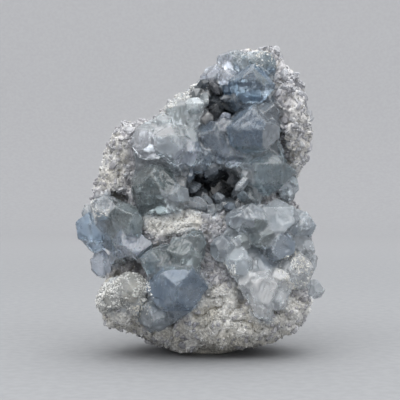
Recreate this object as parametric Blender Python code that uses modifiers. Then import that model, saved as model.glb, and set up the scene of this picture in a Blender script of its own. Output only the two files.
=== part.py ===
"""Celestite geode: a broken piece of a nodule, whose hollow and front are lined with pale blue crystals.

The rock is one body of fused lumps with the hollow sunk in it. The crystals are celestine blocks, each cut
by its own crystal faces, and those that have grown together are one solid. Metres, +Z up. The crystals face
-Y. The origin is the middle of the underside, which is a small flat spot that the piece rests on.
"""

import math
import random
from typing import NamedTuple

import bmesh
import bpy
from mathutils import Euler, Matrix, Vector, noise
from mathutils.bvhtree import BVHTree

MM = 0.001

# Driving dimensions. Every place and size in the tables below is in millimetres.
SEAM = 0.3 * MM  # gap between the rock and the crystals that stand on it
CRUST = 1.8 * MM  # thickness of the grown-together base that the crystals rise from
ROOT = 3.5 * MM  # how deep a crystal starts inside the rock
VOXEL = 2.0 * MM  # grain at which the rock's lumps fuse
ZONE_VOXEL = 4.0 * MM  # and the same for the areas that crystals cover
ROCK_FACES = 1700
BASE_FACES = 800
ROUGH = 1.1 * MM  # height of the rock's coarse roughness
ROUGH_SIZE = 7.0 * MM  # and how far apart its bumps are
SEED = 7
ROCK_COLOUR = (0.62, 0.61, 0.57)
CRYSTAL_COLOUR = (0.50, 0.60, 0.70)
EYE = Vector((0.0, -0.344, 0.048))  # the crystals' places are given as they show from here, on the plane y = 0


class Lump(NamedTuple):
    """An ellipsoid of rock, or of empty space: its middle, its three radii, and its lean to the right."""

    x: float
    y: float
    z: float
    rx: float
    ry: float
    rz: float
    lean: float = 0.0


BODY = {
    "foot": Lump(1, 0, 21, 31.5, 23, 22.5),
    "waist": Lump(-1, 3, 44, 30.5, 20, 22),
    "shoulder": Lump(-9, 4, 60, 19, 17, 14),
    "bridge": Lump(4, 7, 66, 23, 15, 16),
    "head": Lump(14.6, 5, 73, 15.4, 15, 20.6, 6),
    "slope": Lump(1, 4, 78.5, 9, 11, 5.5, -35),
    "crest": Lump(17, 3, 90.5, 9, 9, 5.5),
    "right_rim": Lump(27.5, -1, 72, 6, 12, 18, -3),
    "right_flank": Lump(26, -1, 36, 7, 12, 13),
    "lower_right": Lump(22, -5, 16, 11.5, 15, 11),
    "left_shoulder": Lump(-23.5, -2, 64, 6.5, 10, 9, 20),
    "left_flank": Lump(-28, -1, 50, 6.5, 10, 12),
    "left_foot": Lump(-24, -9, 16.5, 9, 10, 9.5),
    "ledge": Lump(-3, -11, 39, 19, 11, 6.5),
    "front_bulge": Lump(9, -10, 14, 23, 13, 12),
}

HOLLOWS = {
    "cave": Lump(3.5, -11, 51.5, 11, 21, 7.5),
    "upper_cave": Lump(5, -9, 76.5, 7, 17, 5.8, 20),
    "front_dish": Lump(12, -22, 74, 14, 13, 17),
    "left_pocket": Lump(-24.5, -20, 27, 7.5, 20, 4.8, 18),
    "right_pocket": Lump(21.3, -17, 28.3, 3.4, 13, 4.2),
    "gap_under_block": Lump(17.2, -14, 48.4, 3, 9, 2.2),
    "crevice": Lump(-25.9, -11, 48, 4, 8, 2.8),
    "lower_slit": Lump(-9, -25, 11.5, 1.8, 7, 3.6, 15),
}

BACK_LUMPS = 30  # rounded lumps of the rind, over the back and sides
BACK_LUMP_RADIUS = (4.0, 8.5)
BACK_LUMP_SUNK = 0.72  # share of its radius that a lump is sunk in the body
BACK_LUMP_LOW = 0.8  # and the least height of its middle, in radii


class Habit(NamedTuple):
    """A crystal's form: how far each kind of face stands from its middle, as a share of half its width."""

    side: float  # the four faces {011} along the crystal
    flat: float  # the two broad faces {001}
    roof: float  # the two faces {210} that make its ridge
    hip: float  # the two faces {101} that end the ridge
    corner: float  # the four small faces {211}


HABITS = {
    "block": Habit(1.00, 0.84, 0.82, 0.90, 1.04),
    "roof": Habit(0.96, 1.00, 0.72, 1.02, 2.0),
    "point": Habit(0.96, 1.04, 0.98, 0.94, 2.0),
    "tablet": Habit(1.05, 0.58, 0.85, 0.84, 2.0),
    "blade": Habit(1.00, 0.46, 1.05, 1.10, 2.0),
}


class Crystal(NamedTuple):
    """A crystal by where its middle shows from the eye, how far it stands out there, and how it points."""

    x: float
    z: float
    out: float
    width: float
    turn: float  # degrees to the right of straight out
    lift: float  # degrees above level
    spin: float
    habit: str


GROUPS = {
    "crystal_crust": [
        Crystal(15.0, 84.3, 5.0, 11.5, 6, 62, 80, "block"),
        Crystal(18.4, 90.3, 2.5, 8.5, 15, 48, 60, "block"),
        Crystal(8.2, 90.4, 2.0, 8.5, -25, 35, 20, "block"),
        Crystal(12.0, 90.6, 2.0, 6.5, -5, 50, 10, "block"),
        Crystal(4.0, 85.2, 3.5, 9.0, -18, 30, 45, "block"),
        Crystal(-1.4, 81.2, 2.0, 6.5, -25, 40, 20, "block"),
        Crystal(7.8, 85.6, 4.0, 6.0, -5, 10, 60, "point"),
        Crystal(15.0, 70.6, 6.0, 14.5, -4, 66, 84, "block"),
        Crystal(19.6, 74.4, 4.5, 8.5, 25, 30, 35, "roof"),
        Crystal(22.0, 69.4, 3.0, 5.0, 35, 0, 50, "block"),
        Crystal(6.2, 71.0, 7.0, 6.5, -15, 40, 60, "block"),
        Crystal(10.7, 78.6, 6.0, 5.5, -15, 10, 70, "point"),
        Crystal(19.8, 57.6, 5.5, 13.5, 2, 84, 88, "block"),
        Crystal(27.4, 52.2, 3.5, 5.5, 35, 0, 15, "point"),
        Crystal(26.2, 49.6, 4.0, 4.6, 20, 30, 50, "block"),
        Crystal(14.3, 61.0, 4.5, 4.4, -10, 20, 50, "point"),
        Crystal(13.8, 55.4, 4.0, 4.4, -15, -5, 20, "point"),
        Crystal(14.6, 50.4, 4.0, 4.8, 0, 10, 70, "roof"),
        Crystal(2.8, 66.0, 3.0, 14.5, 12, 42, 66, "block"),
        Crystal(9.0, 62.6, 3.5, 9.5, -8, -16, 30, "block"),
        Crystal(-1.4, 60.6, 4.0, 8.0, 12, -20, 80, "roof"),
        Crystal(4.4, 59.0, 3.5, 7.0, -4, -35, 15, "block"),
        Crystal(7.9, 51.6, 6.0, 10.0, -4, 78, 92, "tablet"),
        Crystal(0.2, 52.4, 5.0, 7.5, 15, 35, 50, "roof"),
        Crystal(4.6, 47.6, 8.5, 5.2, 0, 65, 80, "point"),
        Crystal(-4.6, 74.0, 6.0, 12.5, 62, 10, 4, "block"),
        Crystal(-12.0, 70.2, 4.5, 9.0, 5, 25, 12, "block"),
        Crystal(-17.2, 65.8, 5.0, 10.5, -15, -15, 35, "block"),
        Crystal(-9.5, 64.5, 6.5, 10.5, 10, -25, 55, "block"),
        Crystal(-3.9, 62.6, 7.5, 8.0, 28, -55, 80, "roof"),
        Crystal(-4.5, 67.2, 7.5, 7.0, 35, -10, 20, "point"),
        Crystal(0.6, 79.8, 5.0, 5.5, 25, 0, 35, "point"),
        Crystal(-15.4, 52.0, 4.5, 14.0, -5, 42, 75, "block"),
        Crystal(-8.6, 49.6, 5.5, 8.0, 10, 30, 60, "block"),
        Crystal(-4.0, 51.0, 6.0, 5.5, 25, 15, 30, "point"),
    ],
    "left_blue_crystals": [
        Crystal(-34.2, 39.4, 2.0, 10.5, -20, 74, 70, "block"),
        Crystal(-33.4, 34.6, 1.5, 7.0, -10, -68, 80, "point"),
        Crystal(-31.4, 45.6, 2.5, 8.0, -15, 55, 30, "block"),
        Crystal(-35.6, 43.6, 0.5, 5.0, -50, 50, 20, "point"),
        Crystal(-27.2, 35.6, 3.0, 7.0, -5, 72, 90, "blade"),
        Crystal(-23.6, 41.6, 4.0, 10.0, 30, 30, 15, "tablet"),
        Crystal(-21.6, 34.2, 4.5, 10.5, 6, -62, 90, "tablet"),
        Crystal(-32.2, 27.6, 1.0, 6.5, -30, 78, 80, "blade"),
    ],
    "lower_block_crystals": [
        Crystal(-8.8, 20.2, 5.5, 15.5, 2, -8, 90, "block"),
        Crystal(-15.3, 29.0, 4.0, 8.0, -10, 60, 85, "block"),
        Crystal(-6.2, 30.6, 4.0, 11.0, 0, 12, 30, "block"),
        Crystal(-11.6, 28.6, 4.5, 7.0, -5, 20, 60, "roof"),
        Crystal(-15.3, 11.4, 3.0, 9.5, -15, -30, 60, "block"),
        Crystal(-2.4, 35.0, 3.0, 7.0, 10, 30, 15, "block"),
    ],
    "front_right_crystals": [
        Crystal(23.4, 41.4, 6.0, 10.5, 10, -72, 95, "tablet"),
        Crystal(14.8, 42.6, 5.0, 9.0, -10, 66, 75, "block"),
        Crystal(18.0, 36.6, 5.5, 8.5, -4, -10, 70, "block"),
        Crystal(24.2, 32.8, 5.0, 9.5, 35, -35, 20, "roof"),
        Crystal(31.4, 40.2, 2.0, 8.0, 40, 55, 80, "block"),
        Crystal(32.0, 32.4, 2.0, 6.0, 40, -10, 30, "point"),
        Crystal(10.2, 42.0, 4.5, 6.5, -10, 20, 15, "roof"),
        Crystal(6.4, 33.4, 4.0, 7.0, -4, 66, 90, "point"),
        Crystal(11.6, 34.6, 4.5, 6.0, 2, -6, 65, "point"),
        Crystal(11.0, 28.6, 4.5, 9.0, -5, 20, 30, "block"),
        Crystal(18.2, 20.2, 4.5, 11.5, -4, 40, 25, "block"),
        Crystal(14.4, 22.4, 4.5, 7.0, -4, 8, 55, "roof"),
        Crystal(23.0, 16.8, 3.5, 6.5, 20, -8, 40, "point"),
        Crystal(29.0, 25.8, 3.5, 11.0, 20, 60, 85, "block"),
        Crystal(24.4, 22.6, 4.0, 6.5, 12, 10, 20, "block"),
        Crystal(32.2, 28.6, 0.5, 7.0, 15, 80, 90, "blade"),
        Crystal(35.2, 19.4, 1.0, 5.5, 60, -5, 60, "point"),
    ],
    "left_foot_crystals": [
        Crystal(-23.2, 20.4, 3.0, 10.0, -4, 60, 70, "block"),
        Crystal(-28.8, 17.8, 2.0, 7.5, -30, 10, 50, "block"),
        Crystal(-31.2, 15.4, 1.0, 5.5, -50, -8, 15, "point"),
        Crystal(-20.4, 15.0, 2.5, 6.5, 6, -10, 70, "roof"),
    ],
}

WALL_CRYSTALS = 20  # smaller crystals that line the hollow's walls
WALL_WIDTH = (4.0, 7.0)
WALL_REACH = 22 * MM  # how far from the hollow's middle they still stand
WALL_TIES = 0.42  # how near two of them come, as a share of their widths together
WALL_OUT = 0.25  # how far one's middle stands out, as a share of its width
WALL_LEAN = 0.4  # how far one leans at most, in radians
FINE_WIDTH = 8.0  # a crystal wider than this has its small corner faces
UNEVEN = 0.10  # how far a crystal's faces stand from where the habit puts them, as a share
STEEP = 0.6  # a crystal that points less than this towards the front is a whole one, not rooted in the rock
ZONE_SHARE = 0.55  # radius of the base round a crystal, as a share of its width
ZONE_RIM = 1.0  # and what is added to it


def clear_scene():
    for obj in list(bpy.data.objects):
        bpy.data.objects.remove(obj)


def collection(name):
    made = bpy.data.collections.new(name)
    bpy.context.scene.collection.children.link(made)
    return made


def material(name, colour, roughness, transmission=0.0):
    made = bpy.data.materials.new(name)
    made.use_nodes = True
    shader = made.node_tree.nodes["Principled BSDF"]
    shader.inputs["Base Color"].default_value = (*colour, 1.0)
    shader.inputs["Roughness"].default_value = roughness
    shader.inputs["Transmission Weight"].default_value = transmission
    return made


def object_of(bm, name, home):
    """A new object in a collection from a bmesh, which is freed."""
    mesh = bpy.data.meshes.new(name)
    bm.to_mesh(mesh)
    bm.free()
    obj = bpy.data.objects.new(name, mesh)
    home.objects.link(obj)
    return obj


def helper(obj):
    """Marks an object as a guide or a cutter, which is no part of the geode."""
    obj.hide_render = True
    obj.display_type = "WIRE"
    return obj


def evaluated_bmesh(obj):
    """The object's mesh with its modifiers, in world space."""
    graph = bpy.context.evaluated_depsgraph_get()
    mesh = bpy.data.meshes.new_from_object(obj.evaluated_get(graph))
    bm = bmesh.new()
    bm.from_mesh(mesh)
    bm.transform(obj.matrix_world)
    bpy.data.meshes.remove(mesh)
    return bm


def add_voxels(obj, size):
    modifier = obj.modifiers.new("fuse", "REMESH")
    modifier.mode = "VOXEL"
    modifier.voxel_size = size


def add_facets(obj, ratio):
    """Leaves a share of the faces, so that the surface breaks up in flat facets."""
    obj.modifiers.new("facets", "DECIMATE").ratio = min(1.0, ratio)


def add_boolean(obj, operation, other, solver="EXACT"):
    """A Boolean with one object, or with all the objects of a collection."""
    modifier = obj.modifiers.new(operation.lower(), "BOOLEAN")
    modifier.operation = operation
    modifier.solver = solver
    if isinstance(other, bpy.types.Collection):
        modifier.operand_type = "COLLECTION"
        modifier.collection = other
    else:
        modifier.object = other


def keep_largest_island(bm):
    """Drops the chips that a cut has parted from the main body, and the voids that it has closed in."""
    unseen = set(bm.verts)
    islands = []
    while unseen:
        island = {unseen.pop()}
        front = list(island)
        while front:
            vert = front.pop()
            around = {edge.other_vert(vert) for edge in vert.link_edges} & unseen
            unseen -= around
            island |= around
            front.extend(around)
        islands.append(island)
    largest = max(islands, key=len)
    bmesh.ops.delete(bm, geom=[v for v in bm.verts if v not in largest], context="VERTS")


def lump_matrix(lump, grow):
    lean = Matrix.Rotation(math.radians(lump.lean), 4, "Y")
    radii = [r * MM + grow for r in (lump.rx, lump.ry, lump.rz)]
    place = Matrix.Translation(Vector((lump.x, lump.y, lump.z)) * MM)
    return place @ lean @ Matrix.Diagonal((*radii, 1.0))


def lump_object(name, lumps, home, grow=0.0, voxel=VOXEL):
    """Ellipsoids fused into one closed surface."""
    bm = bmesh.new()
    for lump in lumps:
        bmesh.ops.create_icosphere(bm, subdivisions=3, radius=1.0, matrix=lump_matrix(lump, grow))
    obj = helper(object_of(bm, name, home))
    add_voxels(obj, voxel)
    return obj


def back_lumps():
    """Rounded lumps over the back and sides of the body, where the rind is whole."""
    rng = random.Random(SEED)
    centre = Vector((1, 5, 44))
    reach = {name: BODY[name] for name in ("foot", "waist", "bridge", "head", "shoulder")}
    lumps = []
    while len(lumps) < BACK_LUMPS:
        base = rng.choice(list(reach.values()))
        way = Vector((rng.uniform(-1, 1), rng.uniform(0.15, 1), rng.uniform(-0.6, 1))).normalized()
        spot = Vector((base.x + way.x * base.rx, base.y + way.y * base.ry, base.z + way.z * base.rz))
        radius = rng.uniform(*BACK_LUMP_RADIUS)
        spot -= (spot - centre).normalized() * radius * BACK_LUMP_SUNK
        if spot.z > radius * BACK_LUMP_LOW:
            lumps.append(Lump(*spot, radius, radius * 0.9, radius * rng.uniform(0.7, 1.0)))
    return lumps


def rough_height(point):
    """How far the rock's surface stands out at a point: coarse bumps, and finer ones on them."""
    coarse = noise.noise(point / ROUGH_SIZE)
    fine = noise.noise(point / (ROUGH_SIZE * 0.4) + Vector((5, 0, 0)))
    return ROUGH * (coarse + 0.6 * fine)


def rock_bmesh(home, grow, faces):
    """The rock's body, or the same body grown outwards, with its hollows, its roughness and its flat foot."""
    body = lump_object("body", [*BODY.values(), *back_lumps()], home, grow)
    hollows = lump_object("hollows", HOLLOWS.values(), home, -grow)
    add_boolean(body, "DIFFERENCE", hollows)
    add_voxels(body, VOXEL)
    bm = evaluated_bmesh(body)
    for obj in (body, hollows):
        bpy.data.objects.remove(obj)
    bm.normal_update()
    for vert, height in [(v, rough_height(v.co)) for v in bm.verts]:
        vert.co += vert.normal * height
    rough = object_of(bm, "rough", home)
    add_facets(rough, faces / (2 * len(rough.data.polygons)))
    bm = evaluated_bmesh(rough)
    bpy.data.objects.remove(rough)
    slice_off(bm, Vector((0, 0, 0)), Vector((0, 0, -1)))
    keep_largest_island(bm)
    return bm


def slice_off(bm, point, normal):
    """Cuts away what lies beyond a plane and closes the cut."""
    everything = [*bm.verts, *bm.edges, *bm.faces]
    cut = bmesh.ops.bisect_plane(
        bm, geom=everything, dist=1e-7, plane_co=point, plane_no=normal, clear_outer=True
    )["geom_cut"]
    rim = [e for e in cut if isinstance(e, bmesh.types.BMEdge) and e.is_boundary]
    if rim:
        bmesh.ops.edgeloop_fill(bm, edges=rim)


def crystal_faces(habit, fine, free):
    """Each face of a celestine crystal that is long along +Z: the way it points, and its share of half the width.

    Fine adds the four small corner faces, and free ends the root with faces too, as it isn't sunk in the rock.

    The angles are the mineral's own: {011} leans 52 degrees from the c axis, which is X here, {210} leans
    38 degrees and {101} 51 degrees from the a axis, which is Z.
    """
    signs = (-1, 1)
    faces = [(Vector((i, 0, 0)), habit.flat) for i in signs]
    faces += [(Vector((0.616 * i, 0.788 * j, 0)), habit.side) for i in signs for j in signs]
    faces += [(Vector((0, 0.616 * j, 0.788)), habit.roof) for j in signs]
    faces += [(Vector((0.773 * i, 0, 0.635)), habit.hip) for i in signs]
    if free:
        faces += [(Vector((0, 0.616 * j, -0.788)), habit.roof + 0.25) for j in signs]
        faces += [(Vector((0.773 * i, 0, -0.635)), habit.hip + 0.1) for i in signs]
    if fine:
        faces += [(Vector((0.432 * i, 0.555 * j, 0.711)), habit.corner) for i in signs for j in signs]
    return faces


def crystal_bmesh(crystal, root, rng, free=False):
    """A block cut by its crystal faces, with its middle at the origin, pointing along +Z."""
    half = crystal.width / 2 * MM
    reach = 1.5 * half
    bm = bmesh.new()
    bmesh.ops.create_cube(bm, size=1.0, matrix=Matrix.Diagonal((2 * reach, 2 * reach, reach + root, 1)))
    bmesh.ops.translate(bm, verts=bm.verts, vec=(0, 0, (reach - root) / 2))
    for normal, share in crystal_faces(HABITS[crystal.habit], crystal.width > FINE_WIDTH, free):
        slice_off(bm, normal * half * share * rng.uniform(1 - UNEVEN, 1 + UNEVEN), normal)
    return bm


def direction(crystal):
    """The way a crystal points, from its turn and its lift."""
    turn, lift = math.radians(crystal.turn), math.radians(crystal.lift)
    return Vector((math.sin(turn) * math.cos(lift), -math.cos(turn) * math.cos(lift), math.sin(lift)))


def aim(way, spin):
    """A rotation that points +Z along a way, after a spin about it."""
    return way.to_track_quat("Z", "Y").to_matrix().to_4x4() @ Matrix.Rotation(math.radians(spin), 4, "Z")


def place_crystal(name, crystal, middle, seat, home, rng):
    """A crystal as an object, its root sunk in the rock behind its middle."""
    way = direction(crystal)
    steep = -way.y < STEEP
    root = crystal.width * 0.75 * MM if steep else ((middle - seat).length + ROOT) / -way.y
    bm = crystal_bmesh(crystal, root, rng, steep)
    bm.transform(Matrix.Translation(middle) @ aim(way, crystal.spin))
    return helper(object_of(bm, name, home))


def seat_on_rock(tree, crystal):
    """A crystal's middle, on the line of sight from the eye, and the rock's surface behind or beside it."""
    target = Vector((crystal.x, 0, crystal.z)) * MM
    sight = (target - EYE).normalized()
    seat = tree.ray_cast(EYE, sight)[0]
    if seat:
        return seat - sight * crystal.out * MM, seat
    seat = tree.find_nearest(target)[0]
    return EYE + sight * (seat - EYE).dot(sight), seat


def wall_crystals(tree, taken):
    """Smaller crystals that fill the hollow's walls between the larger ones."""
    rng = random.Random(SEED + 1)
    cave = HOLLOWS["cave"]
    found = []
    tries = 0
    while len(found) < WALL_CRYSTALS and tries < 4000:
        tries += 1
        way = Vector((rng.uniform(-1, 1), rng.uniform(-0.5, 1), rng.uniform(-1, 1))).normalized()
        middle = Vector((cave.x, cave.y + rng.uniform(-6, 4), cave.z + rng.uniform(-4, 22))) * MM
        spot, normal = tree.ray_cast(middle, way)[:2]
        if spot is None or (spot - middle).length > WALL_REACH:
            continue
        width = rng.uniform(*WALL_WIDTH)
        if all((spot - other).length > (width + size) * WALL_TIES * MM for other, size in taken):
            taken.append((spot, width))
            found.append((spot, normal, width, rng.uniform(0, 90), rng.choice(("point", "roof", "tablet"))))
    return found


def group_blocks(name, crystals, tree, rng):
    """A group's crystals in a collection of their own, and the spot and width of each."""
    blocks = collection(name + "_blocks")
    blocks.hide_render = True
    seats = []
    for index, crystal in enumerate(crystals):
        middle, seat = seat_on_rock(tree, crystal)
        near = (middle.y - EYE.y) / -EYE.y
        crystal = crystal._replace(width=crystal.width * near)
        place_crystal(f"{name}_{index:02d}", crystal, middle, seat, blocks, rng)
        seats.append((seat, crystal.width))
    return blocks, seats


def line_walls(name, blocks, seats, tree, rng):
    """Adds the smaller crystals of the hollow's walls to a group."""
    for index, (spot, normal, width, spin, habit) in enumerate(wall_crystals(tree, seats)):
        bm = crystal_bmesh(Crystal(0, 0, 0, width, 0, 0, spin, habit), ROOT, rng)
        lean = Euler([rng.uniform(-WALL_LEAN, WALL_LEAN) for _ in range(3)]).to_matrix().to_4x4()
        bm.transform(Matrix.Translation(spot + normal * width * WALL_OUT * MM) @ aim(normal, spin) @ lean)
        helper(object_of(bm, f"{name}_wall_{index:02d}", blocks))


def crust_base(name, seats, wide_rock, home):
    """The thin layer that a group's crystals rise from: the rock grown outwards, near their seats."""
    lumps = [Lump(*(seat / MM), *[width * ZONE_SHARE + ZONE_RIM] * 3) for seat, width in seats]
    zone = lump_object(name + "_zone", lumps, home, voxel=ZONE_VOXEL)
    base = helper(object_of(wide_rock.copy(), name + "_base", home))
    add_boolean(base, "INTERSECT", zone)
    return base


def seam_cutter(obj, home, gap):
    """A copy of a finished solid, swollen by a gap, that others are cut with."""
    bm = bmesh.new()
    bm.from_mesh(obj.data)
    bm.normal_update()
    for vert, shift in [(v, v.normal * gap * min(2.0, v.calc_shell_factor())) for v in bm.verts]:
        vert.co += shift
    return helper(object_of(bm, obj.name + "_cutter", home))


def crust_object(name, crystals, cutters, wide_rock, tree, homes):
    """One group of crystals, grown together with the base under them, and cut to fit its neighbours.

    The swollen copies cross themselves in their sharp corners, which the exact solver can't take.
    """
    rng = random.Random(name)
    blocks, seats = group_blocks(name, crystals, tree, rng)
    if name == "crystal_crust":
        line_walls(name, blocks, seats, tree, rng)
    base = crust_base(name, seats, wide_rock, homes["helpers"])
    add_boolean(base, "UNION", blocks)
    for cutter in cutters:
        add_boolean(base, "DIFFERENCE", cutter, "MANIFOLD")
    bm = evaluated_bmesh(base)
    keep_largest_island(bm)
    bmesh.ops.dissolve_limit(bm, angle_limit=math.radians(1.0), verts=bm.verts, edges=bm.edges)
    return object_of(bm, name, homes["geode"])


def centre_on_foot(objects):
    """Moves everything so that the origin is the middle of the whole piece, at its underside."""
    points = [obj.matrix_world @ vert.co for obj in objects for vert in obj.data.vertices]
    low = Vector([min(p[i] for p in points) for i in range(3)])
    high = Vector([max(p[i] for p in points) for i in range(3)])
    middle = (low + high) / 2
    for obj in objects:
        obj.data.transform(Matrix.Translation((-middle.x, -middle.y, -low.z)))


def main():
    clear_scene()
    homes = {"geode": collection("celestite_geode"), "helpers": collection("helpers")}
    homes["helpers"].hide_render = True
    rock = object_of(rock_bmesh(homes["helpers"], 0.0, ROCK_FACES), "rock_matrix", homes["geode"])
    wide_rock = rock_bmesh(homes["helpers"], CRUST, BASE_FACES)
    tree = BVHTree.FromObject(rock, bpy.context.evaluated_depsgraph_get())
    cutters = [seam_cutter(rock, homes["helpers"], SEAM), seam_cutter(rock, homes["helpers"], 0.4 * SEAM)]
    groups = []
    for name, crystals in GROUPS.items():
        groups.append(crust_object(name, crystals, cutters, wide_rock, tree, homes))
        cutters.append(seam_cutter(groups[-1], homes["helpers"], SEAM))
    rock.data.materials.append(material("rock", ROCK_COLOUR, 0.85))
    for obj in groups:
        obj.data.materials.clear()
        obj.data.materials.append(material(obj.name, CRYSTAL_COLOUR, 0.2, 0.5))
    centre_on_foot([rock, *groups])


main()
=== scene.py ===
"""Looks of a celestite geode: pale granular rock, clear to milky blue crystals and their small neighbours.

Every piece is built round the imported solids, in metres, +Z up, with the crystals towards -Y. Places that are
given as (x, z) are where a spot shows from the front, on the plane y = 0, in millimetres.
"""

import logging
import math
import random
from dataclasses import dataclass, field
from enum import Enum

import bmesh
import bpy
import numpy as np
from bpy.types import Collection, Material, Mesh, Node, NodeSocket as Socket, NodeTree, Object
from mathutils import Matrix, Vector, noise
from mathutils.bvhtree import BVHTree


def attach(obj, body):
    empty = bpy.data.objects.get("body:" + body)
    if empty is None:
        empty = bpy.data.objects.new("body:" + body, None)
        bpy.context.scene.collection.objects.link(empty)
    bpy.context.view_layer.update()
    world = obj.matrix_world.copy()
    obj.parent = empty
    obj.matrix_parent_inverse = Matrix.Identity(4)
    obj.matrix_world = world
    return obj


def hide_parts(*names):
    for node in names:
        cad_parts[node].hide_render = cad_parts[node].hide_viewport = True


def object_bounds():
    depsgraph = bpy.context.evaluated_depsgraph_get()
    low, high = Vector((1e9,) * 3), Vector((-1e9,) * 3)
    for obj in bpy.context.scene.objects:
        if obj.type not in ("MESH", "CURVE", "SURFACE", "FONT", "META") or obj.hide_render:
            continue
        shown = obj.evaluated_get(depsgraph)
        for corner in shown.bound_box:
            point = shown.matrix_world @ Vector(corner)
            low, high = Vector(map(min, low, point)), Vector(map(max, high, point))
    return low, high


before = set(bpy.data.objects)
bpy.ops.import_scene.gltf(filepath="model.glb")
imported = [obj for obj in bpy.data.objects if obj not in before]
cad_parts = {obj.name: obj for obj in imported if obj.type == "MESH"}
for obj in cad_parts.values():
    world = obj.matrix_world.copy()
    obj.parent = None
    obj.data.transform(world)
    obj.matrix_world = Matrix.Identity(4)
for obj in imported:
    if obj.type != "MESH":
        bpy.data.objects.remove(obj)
CAD_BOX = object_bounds()

MM = 0.001
ROOT = "root"
EYE = Vector((-0.0001, -0.344, 0.0567))
AIM = Vector((-0.0001, 0.0, 0.0477))

log = logging.getLogger("geode")


def linear(red: int, green: int, blue: int) -> tuple[float, float, float]:
    """A screen colour, 0 to 255, as the linear values that shaders take."""
    parts = [value / 255 for value in (red, green, blue)]
    return tuple(p / 12.92 if p <= 0.04045 else ((p + 0.055) / 1.055) ** 2.4 for p in parts)


class Tint(Enum):
    """The body colours that the crystals have."""

    DEEP = linear(134, 160, 184)
    BLUE = linear(158, 178, 198)
    TEAL = linear(172, 189, 196)
    SLATE = linear(160, 174, 188)
    GREENISH = linear(164, 174, 174)
    LAVENDER = linear(210, 215, 227)
    GREY = linear(182, 190, 197)
    MILKY = linear(230, 234, 237)
    PALE = linear(212, 219, 224)
    SMOKY = linear(184, 194, 206)
    ICE = linear(236, 244, 246)
    SKY = linear(188, 208, 226)
    MOSS = linear(128, 141, 142)
    MAUVE = linear(234, 235, 240)
    WHITE = linear(246, 248, 250)
    CREAM = linear(206, 204, 196)


@dataclass(frozen=True)
class Zone:
    """An area of the front whose crystals share a tint.

    Attributes:
        x: Middle, to the right, in millimetres.
        z: Middle, upwards, in millimetres.
        reach: Radius in millimetres.
        tint: The colour there.
    """

    x: float
    z: float
    reach: float
    tint: Tint


SPOTS = {
    Tint.DEEP: ((15.0, 84.3, 6.5),),
    Tint.TEAL: ((19.5, 84.5, 3.0), (15.0, 90.5, 5.0), (20.9, 56.6, 8.0), (-16.3, 28.0, 4.0)),
    Tint.LAVENDER: (
        (5.0, 87.0, 5.0), (6.0, 71.0, 3.5), (-4.0, 62.0, 4.0), (-21.9, 34.1, 4.0), (-32.0, 28.0, 4.5),
    ),
    Tint.BLUE: ((13.5, 71.5, 7.0), (-8.8, 20.2, 8.5)),
    Tint.GREY: ((20.0, 72.0, 4.5), (14.1, 42.5, 5.0), (32.5, 40.0, 5.0), (6.4, 33.4, 4.0)),
    Tint.MILKY: ((20.5, 63.4, 4.5), (-32.5, 46.0, 4.5), (34.5, 21.0, 4.5)),
    Tint.PALE: (
        (14.0, 56.0, 3.0), (26.5, 50.5, 3.5), (-9.5, 64.0, 5.0), (-8.5, 50.0, 5.0), (-15.3, 11.2, 6.0),
        (23.1, 41.5, 5.5), (11.0, 29.0, 5.0),
    ),
    Tint.SLATE: (
        (4.5, 57.0, 9.0), (4.0, 78.0, 5.5), (3.4, 66.5, 6.0), (-27.1, 36.0, 3.5), (24.0, 32.6, 5.0),
    ),
    Tint.SMOKY: ((8.5, 61.5, 4.0),),
    Tint.ICE: ((-6.5, 74.0, 8.0), (-13.0, 71.5, 5.0)),
    Tint.MAUVE: ((-17.2, 66.0, 5.5),),
    Tint.MOSS: ((-16.0, 51.8, 7.0),),
    Tint.SKY: ((-33.6, 38.8, 6.0),),
    Tint.GREENISH: ((-23.7, 41.2, 4.5), (-7.6, 31.0, 7.0), (17.8, 36.5, 4.5)),
    Tint.WHITE: ((18.4, 19.6, 6.5), (29.5, 25.5, 6.5)),
    Tint.CREAM: ((-24.5, 18.5, 9.0),),
}
ZONES = tuple(Zone(*spot, tint) for tint, spots in SPOTS.items() for spot in spots)


@dataclass(frozen=True)
class Area:
    """An area of the front, such as one where granular rock shows with few or no small crystals.

    Attributes:
        x: Middle, to the right, in millimetres.
        z: Middle, upwards, in millimetres.
        wide: Half its width in millimetres.
        high: Half its height in millimetres.
        share: How strongly it counts, from 0 to 1.
    """

    x: float
    z: float
    wide: float
    high: float
    share: float


# Where rock is bare, where its pockets are painted near-black as shade, where crystals are frosted, and where
# the hollows are
BARE_ROCK = (
    Area(-9.5, 42.0, 9.5, 5.0, 0.95),
    Area(-26.5, 14.0, 9.0, 11.0, 0.85),
    Area(10.0, 10.0, 13.0, 11.0, 0.85),
    Area(4.0, 2.0, 34.0, 7.0, 0.8),
    Area(28.0, 9.0, 9.0, 8.0, 0.6),
    Area(-28.0, 60.0, 5.0, 9.0, 0.55),
    Area(31.0, 66.0, 4.0, 14.0, 0.35),
)

# Pockets of the front whose rock is painted near-black, as painted shade
SHADED_POCKETS = (
    Area(-24.5, 27.0, 6.2, 3.4, 0.9),
    Area(21.3, 28.3, 2.4, 3.0, 0.9),
    Area(-9.0, 11.5, 1.6, 3.6, 0.7),
    Area(12.3, 19.5, 1.4, 4.5, 0.6),
    Area(17.2, 48.4, 2.6, 1.8, 0.8),
    Area(-25.5, 48.0, 3.6, 2.4, 0.5),
)

FROSTED = (
    Area(29.5, 25.5, 4.5, 5.5, 0.75),
    Area(-32.8, 45.0, 5.0, 2.6, 0.8),
    Area(-12.5, 76.5, 5.5, 2.4, 0.8),
    Area(-4.5, 81.5, 5.5, 2.4, 0.8),
    Area(-25.0, 17.5, 9.0, 7.5, 0.75),
    Area(7.5, 24.5, 3.5, 3.5, 0.8),
    Area(18.5, 92.0, 4.5, 2.5, 0.5),
)

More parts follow.
